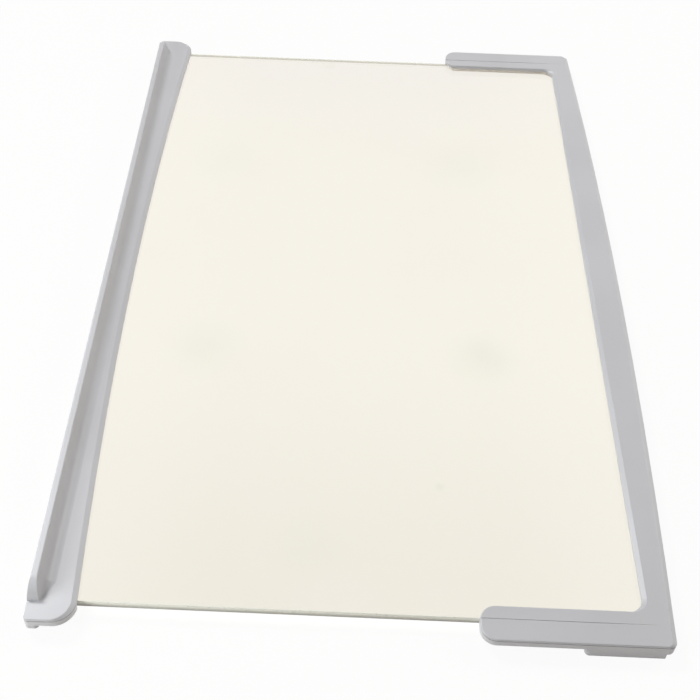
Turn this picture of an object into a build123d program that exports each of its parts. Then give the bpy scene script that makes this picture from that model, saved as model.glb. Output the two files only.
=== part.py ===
from build123d import *
import os

# Fridge glass shelf: a toughened glass panel pushed into a front trim and a rear trim.
# X runs along the shelf, the front faces -Y and Z is up.
# The origin is the middle of the footprint, on the plane that the front feet stand on.

# Glass panel
GLASS_LENGTH = 450.0
GLASS_DEPTH = 285.0
GLASS_THICKNESS = 4.0
GLASS_CORNER_RADIUS = 2.0
GLASS_ARRIS = 0.4           # bevel ground along every edge

# How far the trims stand past the glass
END_OVERHANG = 11.8         # past each short edge
FRONT_OVERHANG = 10.0       # past the front edge, at mid-length
REAR_OVERHANG = 5.0         # past the rear edge

# Moulded walls and fits shared by both trims
SKIN = 2.4                  # top wall
WALL = 2.0                  # skirts, channel walls and ribs
FLANGE = 2.0                # lower lip that carries the glass
RIM_SLOPE = 2.2             # width of the sloped rim along the long edges
RIM_DROP = 1.1              # its height
RIM_RADIUS = 0.6            # rounding of the upper edges
GAP_HEIGHT = 0.5            # shadow line cut below the rim
GAP_DEPTH = 0.8
EDGE_CLEARANCE = 0.3        # glass edge to channel wall
FACE_CLEARANCE = 0.2        # glass top to channel roof
SEAT_DEPTH = 4.9            # trim top to the underside that a liner ledge carries
FOOT_CORNER_RADIUS = 2.2    # upright corners of the feet
FOOT_EDGE_RADIUS = 0.8      # lower edges of the feet

# Front trim
BAND_LAP = 8.0              # front band over the glass
FRONT_BOW = 5.5             # rise of the bowed front edge
NOSE_DEPTH = 6.6            # trim top to the lower edge of the nose
FRONT_CORNER_RADIUS = 3.2
ARM_LAP = 5.8               # arm over the glass
ARM_LENGTH = 75.5           # arm past the band's inner edge
ARM_END_RADIUS = 7.5
INNER_CORNER_RADIUS = 7.4
FRONT_FLANGE_INSET = 3.0    # channel stays this far back from the trim's edge
GROOVE_INSET = 10.7         # groove line from the trim's end
GROOVE_SETBACK = 2.6        # groove end from the front corner
GROOVE_RUNOUT = 30.0        # length over which the groove rises to the surface
GROOVE_WIDTH = 0.7
GROOVE_DEPTH = 0.25
FRONT_FOOT_HEIGHT = 6.2     # below the seat
FRONT_FOOT_LENGTH = 36.5
FRONT_FOOT_WIDTH = 6.0
FRONT_FOOT_SETBACK = 9.0    # from the front edge
RIB_PITCH = 40.0            # between the nose's cross ribs
RIB_THICKNESS = 1.4

# Rear trim
REAR_LAP = 18.2             # over the glass, at the ends
REAR_BOW = 7.3              # depth of the hollowed inner edge
REAR_INNER_RADIUS = 10.5
REAR_OUTER_RADIUS = 2.0
REAR_FLANGE_INSET = 1.0     # lower lip stays this far back from the trim's edge
CHANNEL_RUNOUT = 1.5        # channel past the glass at each end
REAR_FOOT_HEIGHT = 3.4      # below the seat
REAR_FOOT_LENGTH = 6.0      # along X
REAR_FOOT_WIDTH = 6.4       # along Y
STIFFENER = 2.4             # thickness of the rib below the channel
LIP_HEIGHT = 8.7            # above the trim's top
LIP_CREST = 3.2             # flat along the crest
LIP_LEAN = 1.4              # spread of its outer face, crest to foot
LIP_SPREAD = 3.5            # the same for its inner face
LIP_HOLLOW = 5.2            # rounding between inner face and tray
LIP_OUTER_RADIUS = 1.2      # edges of the crest
LIP_INNER_RADIUS = 0.6
LIP_SETBACK = 10.0          # flat left at each end
LIP_END_RADIUS = 8.4        # rounding of its ends, seen from behind
LIP_RUNOUT = 10.0           # length over which the inner face narrows towards each end
LIP_END_SPREAD = 1.2        # spread and rounding left there
LIP_END_HOLLOW = 0.6

# Heights, from the feet up
SEAT_Z = FRONT_FOOT_HEIGHT
TOP_Z = SEAT_Z + SEAT_DEPTH
NOSE_Z = TOP_Z - NOSE_DEPTH
ROOF_Z = TOP_Z - SKIN
GLASS_TOP_Z = ROOF_Z - FACE_CLEARANCE
GLASS_Z = GLASS_TOP_Z - GLASS_THICKNESS
FLANGE_Z = GLASS_Z - FLANGE
REAR_FOOT_Z = SEAT_Z - REAR_FOOT_HEIGHT
CREST_Z = TOP_Z + LIP_HEIGHT

# Plan, from the middle of the footprint
END_X = GLASS_LENGTH / 2 + END_OVERHANG
FRONT_Y = -(FRONT_OVERHANG + GLASS_DEPTH + REAR_OVERHANG) / 2
REAR_Y = -FRONT_Y
GLASS_FRONT_Y = FRONT_Y + FRONT_OVERHANG
GLASS_REAR_Y = REAR_Y - REAR_OVERHANG
CORNER_Y = FRONT_Y + FRONT_BOW
BAND_Y = GLASS_FRONT_Y + BAND_LAP
ARM_END_Y = BAND_Y + ARM_LENGTH
ARM_X = GLASS_LENGTH / 2 - ARM_LAP
REAR_END_Y = GLASS_REAR_Y - REAR_LAP
CHANNEL_END_X = GLASS_LENGTH / 2 + CHANNEL_RUNOUT
SIDES = (-1, 1)


def area(x_one, x_two, y_one, y_two):
    """Rectangle in plan between two corners."""
    width = abs(x_two - x_one)
    depth = abs(y_two - y_one)
    return Pos((x_one + x_two) / 2, (y_one + y_two) / 2) * Rectangle(width, depth)


def slab(plan, bottom, top):
    """Plan raised into a solid between two heights."""
    return extrude(Pos(0, 0, bottom) * plan, amount=top - bottom)


def rimmed_skin(plan, face):
    """Top wall of a trim, whose rims rise from its outline to a narrower flat face with rounded edges."""
    shoulder = TOP_Z - RIM_DROP
    skin = slab(plan, ROOF_Z, shoulder)
    skin += loft([Pos(0, 0, shoulder) * plan, Pos(0, 0, TOP_Z) * face], ruled=True)
    return fillet(skin.faces().sort_by(Axis.Z)[-1].edges(), RIM_RADIUS)


def skirt_plan(plan):
    """Wall under a trim's rim, as a ring."""
    return plan - offset(plan, -WALL)


def shadow_gap(plan):
    """Narrow recess below a trim's rim, all round outside the glass channel."""
    ring = plan - offset(plan, -GAP_DEPTH) - glass_plan(EDGE_CLEARANCE + WALL)
    top = TOP_Z - RIM_DROP
    return slab(ring, top - GAP_HEIGHT, top)


def rounded_foot(plan, bottom):
    """Block under a trim with its lower edges rounded."""
    block = slab(plan, bottom, ROOF_Z)
    return fillet(block.faces().sort_by(Axis.Z)[0].edges(), FOOT_EDGE_RADIUS)


def glass_plan(margin=0.0):
    """The glass's outline, grown by a margin."""
    half = GLASS_LENGTH / 2 + margin
    return area(-half, half, GLASS_FRONT_Y - margin, GLASS_REAR_Y + margin)


def glass_panel():
    plan = glass_plan()
    plan = fillet(plan.vertices(), GLASS_CORNER_RADIUS)
    panel = slab(plan, GLASS_Z, GLASS_TOP_Z)
    rims = panel.faces().sort_by(Axis.Z)
    return chamfer(rims[0].edges() + rims[-1].edges(), GLASS_ARRIS)


def front_plan(inset=0.0):
    """Bowed nose and two round-ended arms, left by a bay cut into the rear side.

    The inset draws in the long edges of the band between the arms.
    """
    corner = CORNER_Y + inset
    nose = ThreePointArc((-END_X, corner), (0, FRONT_Y + inset), (END_X, corner))
    ends = Polyline((END_X, corner), (END_X, ARM_END_Y), (-END_X, ARM_END_Y), (-END_X, corner))
    plan = make_face([nose, ends])
    plan = fillet(plan.vertices().group_by(Axis.Y)[0], FRONT_CORNER_RADIUS)
    bay = area(-ARM_X, ARM_X, BAND_Y - inset, ARM_END_Y)
    plan -= fillet(bay.vertices().group_by(Axis.Y)[0], INNER_CORNER_RADIUS)
    return fillet(plan.vertices().group_by(Axis.Y)[-1], ARM_END_RADIUS)


def rib_plan(region):
    """Cross ribs that tie the nose's skirt to the channel, at an even pitch."""
    count = int(2 * ARM_X / RIB_PITCH)
    ribs = Sketch()
    for index in range(count + 1):
        x = (index - count / 2) * RIB_PITCH
        ribs += area(x - RIB_THICKNESS / 2, x + RIB_THICKNESS / 2, FRONT_Y, GLASS_FRONT_Y)
    return ribs & region


def arm_groove(side):
    """Thin line cut along an arm's top from its end, which runs out towards the front edge."""
    x = side * (END_X - GROOVE_INSET)
    front = CORNER_Y + GROOVE_SETBACK
    bottom = TOP_Z - GROOVE_DEPTH
    profile = make_face(
        Polyline(
            (front, TOP_Z),
            (front + GROOVE_RUNOUT, bottom),
            (ARM_END_Y, bottom),
            (ARM_END_Y, TOP_Z),
            close=True,
        )
    )
    return extrude(Plane.YZ.offset(x - GROOVE_WIDTH / 2) * profile, amount=GROOVE_WIDTH)


def front_foot(side, region):
    """Block under the arm's outer edge, near the front corner."""
    outer = side * END_X
    start = FRONT_Y + FRONT_FOOT_SETBACK
    block = area(outer, outer - side * FRONT_FOOT_WIDTH, start, start + FRONT_FOOT_LENGTH)
    block = fillet(block.vertices().group_by(Axis.Y)[-1], FOOT_CORNER_RADIUS)
    return rounded_foot(block & region, 0)


def front_trim():
    plan = front_plan()
    pocket = glass_plan(EDGE_CLEARANCE)
    channel = glass_plan(EDGE_CLEARANCE + WALL) & offset(plan, -FRONT_FLANGE_INSET)
    trim = rimmed_skin(plan, front_plan(RIM_SLOPE))
    trim += slab(skirt_plan(plan) - pocket, NOSE_Z, ROOF_Z)
    trim += slab(rib_plan(plan) - pocket, NOSE_Z, ROOF_Z)
    foot_end = FRONT_Y + FRONT_FOOT_SETBACK + FRONT_FOOT_LENGTH
    trim -= slab(area(-END_X, END_X, foot_end, ARM_END_Y), NOSE_Z, SEAT_Z)
    trim += slab(channel - pocket, FLANGE_Z, ROOF_Z)
    trim += slab(channel, FLANGE_Z, GLASS_Z)
    for side in SIDES:
        trim += front_foot(side, plan)
        trim -= arm_groove(side)
    return trim - shadow_gap(plan)


def rear_plan(inset=0.0):
    """Straight outer edge, well-rounded inner corners and a hollowed inner edge, drawn in by an inset."""
    end = REAR_END_Y + inset
    hollow = ThreePointArc((-END_X, end), (0, end + REAR_BOW), (END_X, end))
    back = Polyline((END_X, end), (END_X, REAR_Y), (-END_X, REAR_Y), (-END_X, end))
    plan = make_face([hollow, back])
    for row, radius in ((0, REAR_INNER_RADIUS), (-1, REAR_OUTER_RADIUS)):
        plan = fillet(plan.vertices().group_by(Axis.Y)[row], radius)
    return plan


def lip_section(spread, hollow, x):
    """Section of the back-stop lip, whose inner face leans over a hollow down to the tray."""
    crest_out = REAR_Y - LIP_LEAN
    crest_in = crest_out - LIP_CREST
    tray = crest_in - LIP_SPREAD - LIP_HOLLOW
    section = make_face(
        Polyline(
            (REAR_Y, ROOF_Z),
            (REAR_Y, TOP_Z),
            (crest_out, CREST_Z),
            (crest_in, CREST_Z),
            (crest_in - spread, TOP_Z),
            (tray, TOP_Z),
            (tray, ROOF_Z),
            close=True,
        )
    )
    section = fillet(section.vertices().group_by(Axis.Y)[-1].sort_by(Axis.X)[-1], LIP_OUTER_RADIUS)
    section = fillet(section.vertices().group_by(Axis.Y)[-1].sort_by(Axis.X)[0], LIP_INNER_RADIUS)
    section = fillet(section.vertices().group_by(Axis.Y)[1].sort_by(Axis.X)[1], hollow)
    return Plane.YZ.offset(x) * section


def back_stop():
    """Raised lip: one section along the trim, whose inner face narrows towards its rounded ends."""
    end = END_X - LIP_SETBACK
    full = end - LIP_RUNOUT
    lip = extrude(lip_section(LIP_SPREAD, LIP_HOLLOW, -full), amount=2 * full, dir=(1, 0, 0))
    for side in SIDES:
        start = lip_section(LIP_SPREAD, LIP_HOLLOW, side * full)
        stop = lip_section(LIP_END_SPREAD, LIP_END_HOLLOW, side * end)
        lip += loft([start, stop], ruled=True)
    outline = Pos(0, (ROOF_Z + CREST_Z) / 2) * Rectangle(2 * end, CREST_Z - ROOF_Z)
    outline = fillet(outline.vertices().group_by(Axis.Y)[-1], LIP_END_RADIUS)
    return lip & extrude(Plane.XZ * outline, amount=2 * REAR_Y, both=True)


def rear_foot(side, region):
    """Small block under an outer corner."""
    outer = side * END_X
    block = area(outer, outer - side * REAR_FOOT_LENGTH, REAR_Y - REAR_FOOT_WIDTH, REAR_Y)
    block = fillet(block.vertices().group_by(Axis.Y)[0], FOOT_CORNER_RADIUS)
    return rounded_foot(block & region, REAR_FOOT_Z)


def rear_trim():
    plan = rear_plan()
    along = area(-CHANNEL_END_X, CHANNEL_END_X, -REAR_Y, REAR_Y)
    pocket_rear = GLASS_REAR_Y + EDGE_CLEARANCE
    pocket = area(-CHANNEL_END_X, CHANNEL_END_X, -REAR_Y, pocket_rear)
    trim = rimmed_skin(plan, rear_plan(RIM_SLOPE)) + back_stop()
    trim += slab(skirt_plan(plan) - along, SEAT_Z, ROOF_Z)
    trim += slab((plan & along) - pocket, FLANGE_Z, ROOF_Z)
    trim += slab(offset(plan, -REAR_FLANGE_INSET) & along, FLANGE_Z, GLASS_Z)
    rib = area(-CHANNEL_END_X, CHANNEL_END_X, REAR_Y - STIFFENER, REAR_Y)
    trim += slab(rib, 0, FLANGE_Z)
    for side in SIDES:
        trim += rear_foot(side, plan)
    return trim - shadow_gap(plan)


os.makedirs("parts", exist_ok=True)
for name, build in (("glass_panel", glass_panel), ("front_trim", front_trim), ("rear_trim", rear_trim)):
    export_step(build(), f"parts/{name}.step")
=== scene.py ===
import math

import bpy
import numpy as np
from mathutils import Matrix, Vector


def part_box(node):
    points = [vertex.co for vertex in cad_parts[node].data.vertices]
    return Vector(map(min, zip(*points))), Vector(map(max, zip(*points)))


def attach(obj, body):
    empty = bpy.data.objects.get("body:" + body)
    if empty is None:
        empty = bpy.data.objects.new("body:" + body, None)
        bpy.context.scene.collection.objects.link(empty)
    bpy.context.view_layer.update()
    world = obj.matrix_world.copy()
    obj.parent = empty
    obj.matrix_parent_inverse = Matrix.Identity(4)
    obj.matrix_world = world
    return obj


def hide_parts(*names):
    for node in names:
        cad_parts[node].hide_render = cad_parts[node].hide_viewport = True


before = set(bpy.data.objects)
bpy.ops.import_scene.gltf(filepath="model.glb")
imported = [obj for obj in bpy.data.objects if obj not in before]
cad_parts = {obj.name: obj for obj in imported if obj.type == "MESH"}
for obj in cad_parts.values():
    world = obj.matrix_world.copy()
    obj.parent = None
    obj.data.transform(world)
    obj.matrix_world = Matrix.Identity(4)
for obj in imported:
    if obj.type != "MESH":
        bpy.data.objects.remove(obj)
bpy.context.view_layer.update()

GLASS_LOW, GLASS_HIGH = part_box("glass_panel")
MM = 0.001
WHITE = (1.0, 1.0, 1.0, 1.0)
UNSTRETCHED = (1.0, 1.0, 1.0)
QUARTER_TURN = np.pi / 2

# Camera, in metres and degrees, with the focal length in pixels of the square picture
PICTURE_PX = 700
SENSOR_MM = 36.0
FOCAL_PX = 1157.0
CAMERA_PLACE = Vector((-0.4974, 0.0139, 0.4771))
CAMERA_AIM = Vector((-0.0615, 0.0195, 0.0085))
CAMERA_ROLL = 1.806
CAMERA_NEAREST = 0.01        # nothing closer than this is drawn
FRAME_SHIFT_PX = 24.0

# Studio
FLOOR_SIZE = 12.0
FLOOR_COLOUR = (0.86, 0.825, 0.78, 1.0)
FLOOR_LIFT = 0.94            # share of plain white in the floor as the eye sees it
WORLD_COLOUR = (1.0, 0.965, 0.93, 1.0)
WORLD_STRENGTH = 0.02
LAMP_AIM = (0.0, 0.0, 0.0)
LAMPS = (
    # name, place, width, power in watts, colour, whether plastic and glass mirror it
    ("left_softbox", (0.55, 0.78, 1.32), 0.42, 14.8, (0.97, 0.985, 1.0), True),
    ("right_softbox", (0.61, -1.06, 0.86), 0.5, 6.8, (1.0, 0.985, 0.965), True),
    ("front_softbox", (0.0, -1.0, 0.50), 0.5, 2.9, (1.0, 0.985, 0.965), False),
    ("near_softbox", (-1.0, -0.1, 0.30), 0.5, 0.6, (1.0, 0.92, 0.84), False),
    ("corner_softbox", (-0.46, 0.62, 0.24), 0.4, 3.6, (0.94, 0.98, 1.0), False),
)

# A cloud is given by its blotches to the metre and its detail.
# A span is given by the values at which a smooth rise starts and ends.

# Moulded trims
TRIM_GREY = (0.575, 0.57, 0.585, 1.0)
TRIM_PALE = (0.605, 0.60, 0.62, 1.0)
TRIM_STREAK = (0.545, 0.54, 0.55, 1.0)
TRIM_CLOUD = (14.0, 3.0)
TRIM_SPAN = (0.35, 0.7)
STREAK_CLOUD = (60.0, 2.0)
STREAK_STRETCH = (0.12, 1.0, 1.0)
STREAK_SPAN = (0.55, 0.8)
STREAK_SHARE = 0.35
FLECK_CLOUD = (1400.0, 2.0)
FLECK_SPAN = (0.62, 0.75)
FLECK_SHARE = 0.18
TRIM_ROUGHNESS = 0.40
SHEEN_CLOUD = (35.0, 2.0)
CLOUD_MIDDLE = 0.5           # mean value of a cloud
TRIM_SHEEN_SPAN = 0.08       # how far the roughness wanders
GRAIN_CLOUD = (2600.0, 3.0)
GRAIN_HEIGHT = 0.03 * MM
GRAIN_STRENGTH = 0.5

# Glass, as a sheet
GLASS_ARRIS = 0.5 * MM       # rounding ground along each edge
GLASS_CORNER = 2.0 * MM
CORNER_SIDES = ((1.0, 1.0), (-1.0, 1.0), (-1.0, -1.0), (1.0, -1.0))
CORNER_STEPS = 12
ARRIS_STEPS = 5

# Tint of the glass. Along the shelf it holds painted light: painted shade at the near end and a painted
# reflection, less yellow, towards the far end
# painted shade: the glass colour at the near end
SHADED_CREAM_NEAR = (0.852, 0.818, 0.721, 1.0)
CREAM_MIDDLE = (0.915, 0.882, 0.79, 1.0)
CREAM_FAR = (0.896, 0.864, 0.803, 1.0)
CREAM_PALE = (0.945, 0.91, 0.825, 1.0)
CREAM_ROSE = (0.915, 0.85, 0.785, 1.0)
NEAR_SHADE_SPAN = (-0.24, -0.04)   # in metres along the shelf, as is the next
FAR_SPAN = (0.10, 0.23)
PALE_SPAN = (0.06, 0.13)     # in metres to either side of the shelf's middle
PALE_SHARE = 0.35
ROSE_CLOUD = (11.0, 2.0)
ROSE_SPAN = (0.5, 0.75)
ROSE_SHARE = 0.25
GLASS_IOR = 1.52
GLASS_ROUGHNESS = 0.012

# Smudges on the glass
SMUDGE_TINT = (0.70, 0.73, 0.60, 1.0)
SMUDGE_ROUGHNESS = 0.08      # added where a smudge is full
TORN_CLOUD = (55.0, 3.0)
TORN_LEAST = 0.45            # share of a smudge left where the cloud is thinnest
TORN_GAIN = 1.1
SMUDGES = (
    # place on the glass in metres, radius, strength
    (-0.0615, 0.0866, 0.030, 0.16),
    (-0.0619, -0.0673, 0.026, 0.24),
    (0.1081, -0.0619, 0.036, 0.12),
    (0.1060, 0.0900, 0.034, 0.10),
    (-0.1900, 0.0240, 0.030, 0.10),
    (-0.1517, -0.0407, 0.0042, 0.44),
    (0.2165, 0.0266, 0.0060, 0.30),
)

# Ground edge of the glass, with a painted highlight along its top and painted shade along its bottom
# pale rim colour, which is also the painted highlight along the top of the rim
EDGE_PALE_AND_HIGHLIGHT = (0.93, 0.92, 0.83, 1.0)
# painted shade along the bottom of the rim, also the colour of the dark grinding specks
EDGE_SHADE_AND_SPECK = (0.30, 0.30, 0.27, 1.0)
EDGE_CLEAR = 0.5             # share of light that the rim passes from inside
EDGE_ROUGHNESS = 0.55
EDGE_CLOUD = (900.0, 3.0)
EDGE_SPAN = (0.55, 0.8)
EDGE_SHARE = 0.3
SCRATCH_CLOUD = (2000.0, 3.0)

# Sockets of the node that mixes two colours
MIX_SKIPPED = 5              # inputs for numbers and vectors, ahead of the two colours
MIX_COLOUR = 2               # colour output


class Signal:
    """A shader socket that takes part in plain arithmetic: each operator adds one Math node."""

    def __init__(self, paint, socket):
        self.paint = paint
        self.socket = socket

    def _math(self, operation, *values):
        return self.paint.node("ShaderNodeMath", {"operation": operation}, *values)

    def __add__(self, other):
        return self._math("ADD", self, other)

    def __sub__(self, other):
        return self._math("SUBTRACT", self, other)

    def __rsub__(self, other):
        return self._math("SUBTRACT", other, self)

    def __mul__(self, other):
        return self._math("MULTIPLY", self, other)

    __radd__ = __add__


class Paint:
    """One material or world: its node tree, and one method that adds any node."""

    def __init__(self, owner):
        owner.use_nodes = True
        self.tree = owner.node_tree
        self.tree.nodes.clear()

    def node(self, kind, settings=None, *values, output=0, **named):
        """Adds a node of a type, sets its own settings, fills its sockets and gives back one output."""
        made = self.tree.nodes.new(kind)
        for key, value in (settings or {}).items():
            setattr(made, key, value)
        filled = list(enumerate(values))
        filled += [(key.replace("_", " "), value) for key, value in named.items()]
        for key, value in filled:
            if isinstance(value, Signal):
                self.tree.links.new(value.socket, made.inputs[key])
            elif value is not None:
                made.inputs[key].default_value = value
        return Signal(self, made.outputs[output])

    def place(self, stretch=UNSTRETCHED):
        """Object coordinates, stretched along the axes."""
        here = self.node("ShaderNodeTexCoord", output="Object")
        if stretch == UNSTRETCHED:
            return here
        return self.node("ShaderNodeMapping", None, here, Scale=stretch)

    def axis(self, name):
        """Object coordinate along one axis."""
        return self.node("ShaderNodeSeparateXYZ", None, self.place(), output=name)

    def cloud(self, scale, detail, stretch=UNSTRETCHED):
        """Soft noise between 0 and 1, with a number of blotches to the metre."""
        return self.node("ShaderNodeTexNoise", None, Vector=self.place(stretch), Scale=scale, Detail=detail)

    def ramp(self, value, low, high):
        """Smooth rise from 0 at low to 1 at high."""
        smooth = {"interpolation_type": "SMOOTHSTEP"}
        return self.node("ShaderNodeMapRange", smooth, value, low, high, 0.0, 1.0)

    def blend(self, share, one, two):
        """Colour one where the share is 0, and colour two where it is 1."""
        skipped = (None,) * MIX_SKIPPED
        return self.node(
            "ShaderNodeMix", {"data_type": "RGBA"}, share, *skipped, one, two, output=MIX_COLOUR
        )

    def grain(self, cloud):
        """Normal of a surface roughened by the fine bumps of a cloud."""
        return self.node(
            "ShaderNodeBump",
            None,
            Strength=GRAIN_STRENGTH,
            Distance=GRAIN_HEIGHT,
            Height=self.cloud(*cloud),
            output="Normal",
        )

    def mix(self, share, one, two):
        """Shader one where the share is 0, and shader two where it is 1."""
        return self.node("ShaderNodeMixShader", None, share, one, two)

    def finish(self, kind, surface):
        """Links the finished shader to the tree's output."""
        end = self.tree.nodes.new(kind)
        self.tree.links.new(surface.socket, end.inputs["Surface"])


def eye_rays(paint):
    """1 for rays straight from the eye."""
    return paint.node("ShaderNodeLightPath", output="Is Camera Ray")


def bent_rays(paint):
    """1 for mirrored rays and rays through glass."""
    mirror = paint.node("ShaderNodeLightPath", output="Is Glossy Ray")
    through = paint.node("ShaderNodeLightPath", output="Is Transmission Ray")
    return paint.node("ShaderNodeMath", {"operation": "MAXIMUM"}, mirror, through)


def satin_plastic():
    """Pale grey moulded plastic: cloudy tone, faint flow streaks along the shelf and a fine satin grain."""
    material = bpy.data.materials.new("satin_plastic")
    paint = Paint(material)
    tone = paint.blend(paint.ramp(paint.cloud(*TRIM_CLOUD), *TRIM_SPAN), TRIM_GREY, TRIM_PALE)
    streaks = paint.ramp(paint.cloud(*STREAK_CLOUD, stretch=STREAK_STRETCH), *STREAK_SPAN)
    tone = paint.blend(streaks * STREAK_SHARE, tone, TRIM_STREAK)
    flecks = paint.ramp(paint.cloud(*FLECK_CLOUD), *FLECK_SPAN)
    tone = paint.blend(flecks * FLECK_SHARE, tone, TRIM_STREAK)
    sheen = TRIM_ROUGHNESS + (paint.cloud(*SHEEN_CLOUD) - CLOUD_MIDDLE) * TRIM_SHEEN_SPAN
    grain = paint.grain(GRAIN_CLOUD)
    shell = paint.node("ShaderNodeBsdfPrincipled", Base_Color=tone, Roughness=sheen, Normal=grain)
    paint.finish("ShaderNodeOutputMaterial", shell)
    return material


def smudge_marks(paint):
    """Faint greasy marks: soft discs on the glass with torn rims, added up."""
    torn = TORN_LEAST + paint.cloud(*TORN_CLOUD) * TORN_GAIN
    here = paint.place()
    apart = {"operation": "DISTANCE"}
    marks = None
    for x, y, radius, strength in SMUDGES:
        centre = (x, y, GLASS_HIGH.z)
        away = paint.node("ShaderNodeVectorMath", apart, here, centre, output="Value")
        mark = (1.0 - paint.ramp(away, 0.0, radius)) * strength
        marks = mark if marks is None else marks + mark
    return marks * torn


def shelf_glass():
    """Cream-tinted clear glass with cloudy tone and smudges, which lets lamp light through. Along the shelf
    its tint holds painted shade at the near end and a painted reflection towards the far end.
    """
    material = bpy.data.materials.new("shelf_glass")
    paint = Paint(material)
    along = paint.axis("X")
    aside = paint.node("ShaderNodeMath", {"operation": "ABSOLUTE"}, paint.axis("Y"))
    # painted light: the tint is darker at the near end and less yellow towards the far end
    tint = paint.blend(paint.ramp(along, *NEAR_SHADE_SPAN), SHADED_CREAM_NEAR, CREAM_MIDDLE)
    tint = paint.blend(paint.ramp(along, *FAR_SPAN), tint, CREAM_FAR)
    tint = paint.blend(paint.ramp(aside, *PALE_SPAN) * PALE_SHARE, tint, CREAM_PALE)
    rose = paint.ramp(paint.cloud(*ROSE_CLOUD), *ROSE_SPAN)
    tint = paint.blend(rose * ROSE_SHARE, tint, CREAM_ROSE)
    marks = smudge_marks(paint)
    tint = paint.blend(marks, tint, SMUDGE_TINT)
    glass = paint.node(
        "ShaderNodeBsdfPrincipled",
        Base_Color=tint,
        Roughness=GLASS_ROUGHNESS + marks * SMUDGE_ROUGHNESS,
        IOR=GLASS_IOR,
        Transmission_Weight=1.0,
    )
    clear = paint.node("ShaderNodeBsdfTransparent", Color=CREAM_FAR)
    shadow = paint.node("ShaderNodeLightPath", output="Is Shadow Ray")
    paint.finish("ShaderNodeOutputMaterial", paint.mix(shadow, glass, clear))
    return material


def ground_edge():
    """Matt ground rim of the glass: a painted highlight above, where light gathers, and grey-green painted
    shade below, with dark specks.
    """
    material = bpy.data.materials.new("ground_edge")
    paint = Paint(material)
    # painted light and shade: the rim is lighter towards its top and darker towards its bottom
    height = paint.ramp(paint.axis("Z"), GLASS_LOW.z, GLASS_HIGH.z)
    tone = paint.blend(height, EDGE_SHADE_AND_SPECK, EDGE_PALE_AND_HIGHLIGHT)
    specks = paint.ramp(paint.cloud(*EDGE_CLOUD), *EDGE_SPAN)
    tone = paint.blend(specks * EDGE_SHARE, tone, EDGE_SHADE_AND_SPECK)
    scratches = paint.grain(SCRATCH_CLOUD)
    rim = paint.node(
        "ShaderNodeBsdfPrincipled", Base_Color=tone, Roughness=EDGE_ROUGHNESS, Normal=scratches
    )
    inside = paint.node("ShaderNodeNewGeometry", output="Backfacing")
    clear = paint.node("ShaderNodeBsdfTransparent", Color=EDGE_PALE_AND_HIGHLIGHT)
    paint.finish("ShaderNodeOutputMaterial", paint.mix(inside * EDGE_CLEAR, rim, clear))
    return material


def glass_sheet():
    """Glass with rounded arrises: a profile carried round a rounded rectangle, closed by two flat faces.

    The outline turns through each corner's quarter circle about a fixed centre. The profile runs from the
    upper face over a quarter circle, down the edge and round another quarter circle to the lower face, so
    each of its points is the outline drawn in by the profile's inset, at the profile's height.
    """
    turn = np.linspace(0.0, QUARTER_TURN, CORNER_STEPS)
    start = np.arange(len(CORNER_SIDES)) * QUARTER_TURN
    angle = (turn + start[:, None]).ravel()
    side_x, side_y = np.repeat(CORNER_SIDES, CORNER_STEPS, axis=0).T
    middle = (GLASS_HIGH + GLASS_LOW) / 2
    half = (GLASS_HIGH - GLASS_LOW) / 2
    centre_x = middle.x + side_x * (half.x - GLASS_CORNER)
    centre_y = middle.y + side_y * (half.y - GLASS_CORNER)
    bend = np.linspace(QUARTER_TURN, 0.0, ARRIS_STEPS)
    inset = GLASS_ARRIS * (1.0 - np.cos(bend))
    rise = GLASS_ARRIS * np.sin(bend) + half.z - GLASS_ARRIS
    inset = np.concatenate((inset, inset[::-1]))
    height = middle.z + np.concatenate((rise, -rise[::-1]))
    reach = GLASS_CORNER - inset
    x = centre_x[:, None] + reach * np.cos(angle)[:, None]
    y = centre_y[:, None] + reach * np.sin(angle)[:, None]
    z = np.broadcast_to(height, x.shape)
    points = np.stack((x, y, z), axis=-1).reshape(-1, 3)
    around, down = x.shape
    index = np.arange(around * down).reshape(around, down)
    ahead = np.roll(index, -1, axis=0)
    rim = np.stack((index[:, :-1], index[:, 1:], ahead[:, 1:], ahead[:, :-1]), axis=-1).reshape(-1, 4)
    faces = rim.tolist() + [index[:, 0].tolist(), index[::-1, -1].tolist()]
    mesh = bpy.data.meshes.new("glass_sheet")
    mesh.from_pydata(points.tolist(), [], faces)
    on_rim = np.arange(len(faces)) < len(rim)
    mesh.polygons.foreach_set("use_smooth", on_rim)
    mesh.polygons.foreach_set("material_index", on_rim.astype(np.int32))
    mesh.materials.append(shelf_glass())
    mesh.materials.append(ground_edge())
    sheet = bpy.data.objects.new("glass_sheet", mesh)
    bpy.context.scene.collection.objects.link(sheet)
    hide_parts("glass_panel")
    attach(sheet, "root")


def studio_floor():
    """Wide pale floor that shows white to the eye and through the glass, and keeps a soft shadow."""
    half = FLOOR_SIZE / 2
    corners = [(-half, -half, 0.0), (half, -half, 0.0), (half, half, 0.0), (-half, half, 0.0)]
    mesh = bpy.data.meshes.new("studio_floor")
    mesh.from_pydata(corners, [], [(0, 1, 2, 3)])
    floor = bpy.data.objects.new("studio_floor", mesh)
    bpy.context.scene.collection.objects.link(floor)
    material = bpy.data.materials.new("studio_floor")
    paint = Paint(material)
    matt = paint.node("ShaderNodeBsdfDiffuse", Color=FLOOR_COLOUR)
    white = paint.node("ShaderNodeEmission", Color=WHITE, Strength=1.0)
    share = eye_rays(paint) * FLOOR_LIFT + bent_rays(paint)
    paint.finish("ShaderNodeOutputMaterial", paint.mix(share, matt, white))
    mesh.materials.append(material)


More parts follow.
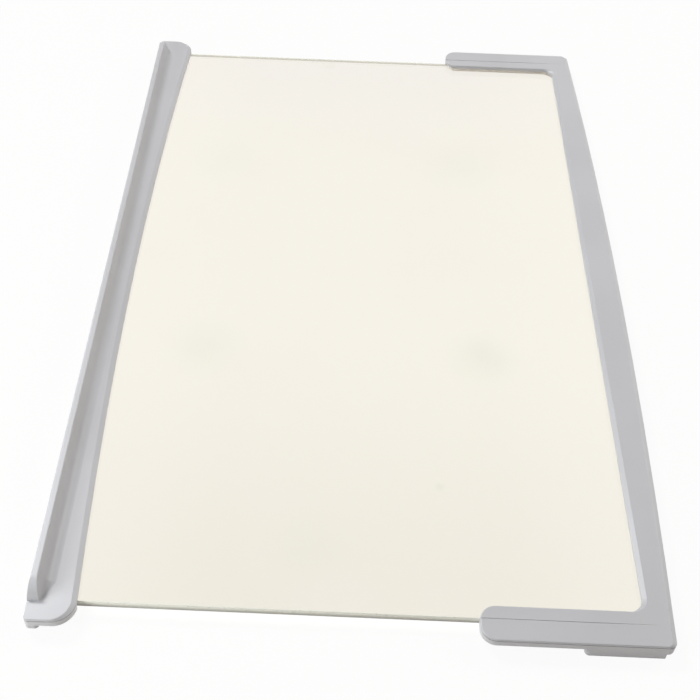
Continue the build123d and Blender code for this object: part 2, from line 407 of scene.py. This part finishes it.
def studio_world():
    """Even soft light, white to the eye."""
    world = bpy.data.worlds.new("studio")
    bpy.context.scene.world = world
    paint = Paint(world)
    soft = paint.node("ShaderNodeBackground", Color=WORLD_COLOUR, Strength=WORLD_STRENGTH)
    white = paint.node("ShaderNodeBackground", Color=WHITE, Strength=1.0)
    share = eye_rays(paint) + bent_rays(paint)
    paint.finish("ShaderNodeOutputWorld", paint.mix(share, soft, white))


def facing(place, aim, roll=0.0):
    """Rotation of something at a place that looks at an aim, rolled about its line of sight."""
    turn = (Vector(aim) - Vector(place)).to_track_quat("-Z", "Y").to_matrix()
    return (turn @ Matrix.Rotation(math.radians(roll), 3, "Z")).to_euler()


def studio_lamps():
    """Square softboxes that face the shelf. The low ones light it without a mirror image."""
    for name, place, width, power, colour, mirrored in LAMPS:
        lamp = bpy.data.lights.new(name, "AREA")
        lamp.shape = "SQUARE"
        lamp.size = width
        lamp.energy = power
        lamp.color = colour
        holder = bpy.data.objects.new(name, lamp)
        holder.location = place
        holder.rotation_euler = facing(place, LAMP_AIM)
        holder.visible_glossy = mirrored
        holder.visible_transmission = mirrored
        bpy.context.scene.collection.objects.link(holder)


def studio_camera():
    """Camera over the near end of the shelf, with its frame shifted sideways."""
    lens = bpy.data.cameras.new("camera")
    lens.sensor_width = SENSOR_MM
    lens.lens = FOCAL_PX / PICTURE_PX * SENSOR_MM
    lens.shift_x = FRAME_SHIFT_PX / PICTURE_PX
    lens.clip_start = CAMERA_NEAREST
    camera = bpy.data.objects.new("camera", lens)
    camera.location = CAMERA_PLACE
    camera.rotation_euler = facing(CAMERA_PLACE, CAMERA_AIM, CAMERA_ROLL)
    bpy.context.scene.collection.objects.link(camera)
    bpy.context.scene.camera = camera


def dress(node, material):
    """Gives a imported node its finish."""
    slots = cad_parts[node].data.materials
    slots.clear()
    slots.append(material)


glass_sheet()
plastic = satin_plastic()
dress("front_trim", plastic)
dress("rear_trim", plastic)
studio_floor()
studio_world()
studio_lamps()
studio_camera()
bpy.context.scene.view_settings.view_transform = "Standard"
